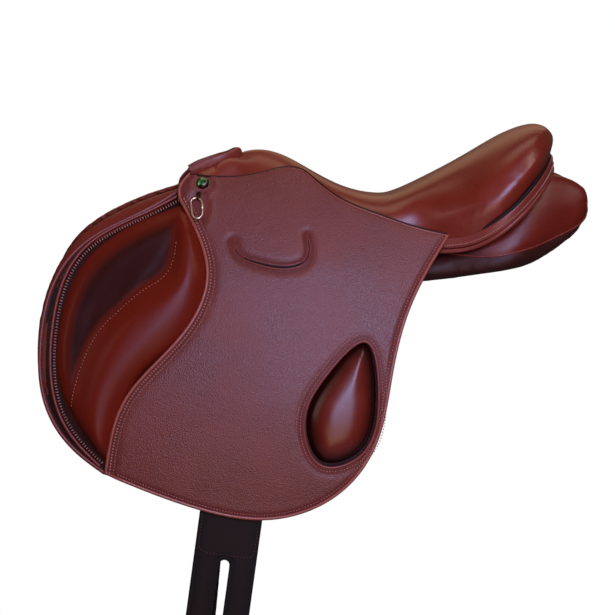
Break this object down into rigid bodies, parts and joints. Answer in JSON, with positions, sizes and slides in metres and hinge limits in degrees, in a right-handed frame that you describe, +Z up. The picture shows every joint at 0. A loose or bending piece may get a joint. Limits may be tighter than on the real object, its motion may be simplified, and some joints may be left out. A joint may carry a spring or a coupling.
{
  "type": "english saddle",
  "caption": "Monoflap jumping saddle with deep seat, cut-back head, padded knee and thigh blocks showing through cut-away flaps, forked girth billets, stirrup bars and dee rings.",
  "frame": {"origin": "on the centre plane, on the horse's back under the lowest point of the seat", "axes": "+X to the rear (cantle), +Y to the off side, +Z up"},
  "size_m": [0.6654, 0.3942, 0.712],
  "materials": {
    "flap_leather": "grained mahogany leather, semi-matte",
    "seat_leather": "smooth mahogany leather, satin to glossy",
    "block_leather": "smooth padded mahogany leather, glossy",
    "under_leather": "smooth mahogany leather, satin",
    "panel_leather": "smooth mahogany leather over wool flock, satin",
    "welt_leather": "rolled and piped mahogany leather, glossy",
    "billet_leather": "thick mahogany strap leather, satin",
    "seat_foam": "latex seat foam",
    "webbing": "woven strap webbing",
    "beech_laminate": "laminated beech, sealed",
    "steel_plate": "pressed steel plate and rivets",
    "spring_steel": "blued spring steel strip",
    "forged_steel": "forged stainless steel, satin",
    "nail_metal": "polished nickel-silver",
    "nail_enamel": "dark green faceted enamel",
    "ring_metal": "pale polished brass"
  },
  "bodies": {
    "saddle": {"spring_tree": "beech_laminate", "head_plate": "steel_plate", "gullet_plate": "steel_plate", "head_rivets": "steel_plate", "seat_webs": "webbing", "cross_web": "webbing", "seat_foam": "seat_foam", "seat_cover": "seat_leather", "pommel_rim": "seat_leather", "pommel_facing": "seat_leather", "cantle_welt": "welt_leather", "cantle_piping": "welt_leather", "near_spring_steel": "spring_steel", "near_stirrup_bar": "forged_steel", "near_catch_pin": "forged_steel", "near_bar_rivets": "steel_plate", "near_flap_head": "flap_leather", "near_sweat_flap": "under_leather", "near_knee_block": "block_leather", "near_thigh_block": "block_leather", "near_panel": "panel_leather", "near_panel_facing": "panel_leather", "near_girth_web": "webbing", "near_head_nail": "nail_metal", "near_nail_cap": "nail_enamel", "near_dee_keeper": "welt_leather", "off_spring_steel": "spring_steel", "off_stirrup_bar": "forged_steel", "off_catch_pin": "forged_steel", "off_bar_rivets": "steel_plate", "off_flap_head": "flap_leather", "off_sweat_flap": "under_leather", "off_knee_block": "block_leather", "off_thigh_block": "block_leather", "off_panel": "panel_leather", "off_panel_facing": "panel_leather", "off_girth_web": "webbing", "off_head_nail": "nail_metal", "off_nail_cap": "nail_enamel", "off_dee_keeper": "welt_leather"},
    "near_lifting_flap": {"near_flap": "flap_leather"},
    "near_catch": {"near_bar_catch": "forged_steel"},
    "near_ring": {"near_dee_ring": "ring_metal"},
    "near_strap": {"near_billet": "billet_leather"},
    "off_lifting_flap": {"off_flap": "flap_leather"},
    "off_catch": {"off_bar_catch": "forged_steel"},
    "off_ring": {"off_dee_ring": "ring_metal"},
    "off_strap": {"off_billet": "billet_leather"}
  },
  "joints": [
    {"name": "near_flap_lift", "type": "hinge", "parent": "saddle", "child": "near_lifting_flap", "pos_m": [-0.1, -0.09482, 0.082], "axis": [-1, 0, 0], "range_deg": [0, 40]},
    {"name": "near_catch_turn", "type": "hinge", "parent": "saddle", "child": "near_catch", "pos_m": [-0.112, -0.0919, 0.068], "axis": [0, -0.8368, 0.5476], "range_deg": [0, 85]},
    {"name": "near_ring_swing", "type": "hinge", "parent": "saddle", "child": "near_ring", "pos_m": [-0.23223, -0.07174, 0.10976], "axis": [-0.995, 0.0995, 0], "range_deg": [0, 100]},
    {"name": "near_billet_swing", "type": "hinge", "parent": "saddle", "child": "near_strap", "pos_m": [-0.157, -0.13039, 0.02], "axis": [-0.0324, -0.9266, 0.3746], "range_deg": [-5, 5], "stiffness_Nm_per_rad": 2, "springref_deg": -1.43},
    {"name": "off_flap_lift", "type": "hinge", "parent": "saddle", "child": "off_lifting_flap", "pos_m": [-0.1, 0.09482, 0.082], "axis": [1, 0, 0], "range_deg": [0, 40]},
    {"name": "off_catch_turn", "type": "hinge", "parent": "saddle", "child": "off_catch", "pos_m": [-0.112, 0.0919, 0.068], "axis": [0, -0.8368, -0.5476], "range_deg": [0, 85]},
    {"name": "off_ring_swing", "type": "hinge", "parent": "saddle", "child": "off_ring", "pos_m": [-0.23223, 0.07174, 0.10976], "axis": [0.995, 0.0995, 0], "range_deg": [0, 100]},
    {"name": "off_billet_swing", "type": "hinge", "parent": "saddle", "child": "off_strap", "pos_m": [-0.157, 0.13039, 0.02], "axis": [0.0324, -0.9266, -0.3746], "range_deg": [-5, 5], "stiffness_Nm_per_rad": 2, "springref_deg": -0.99}
  ]
}
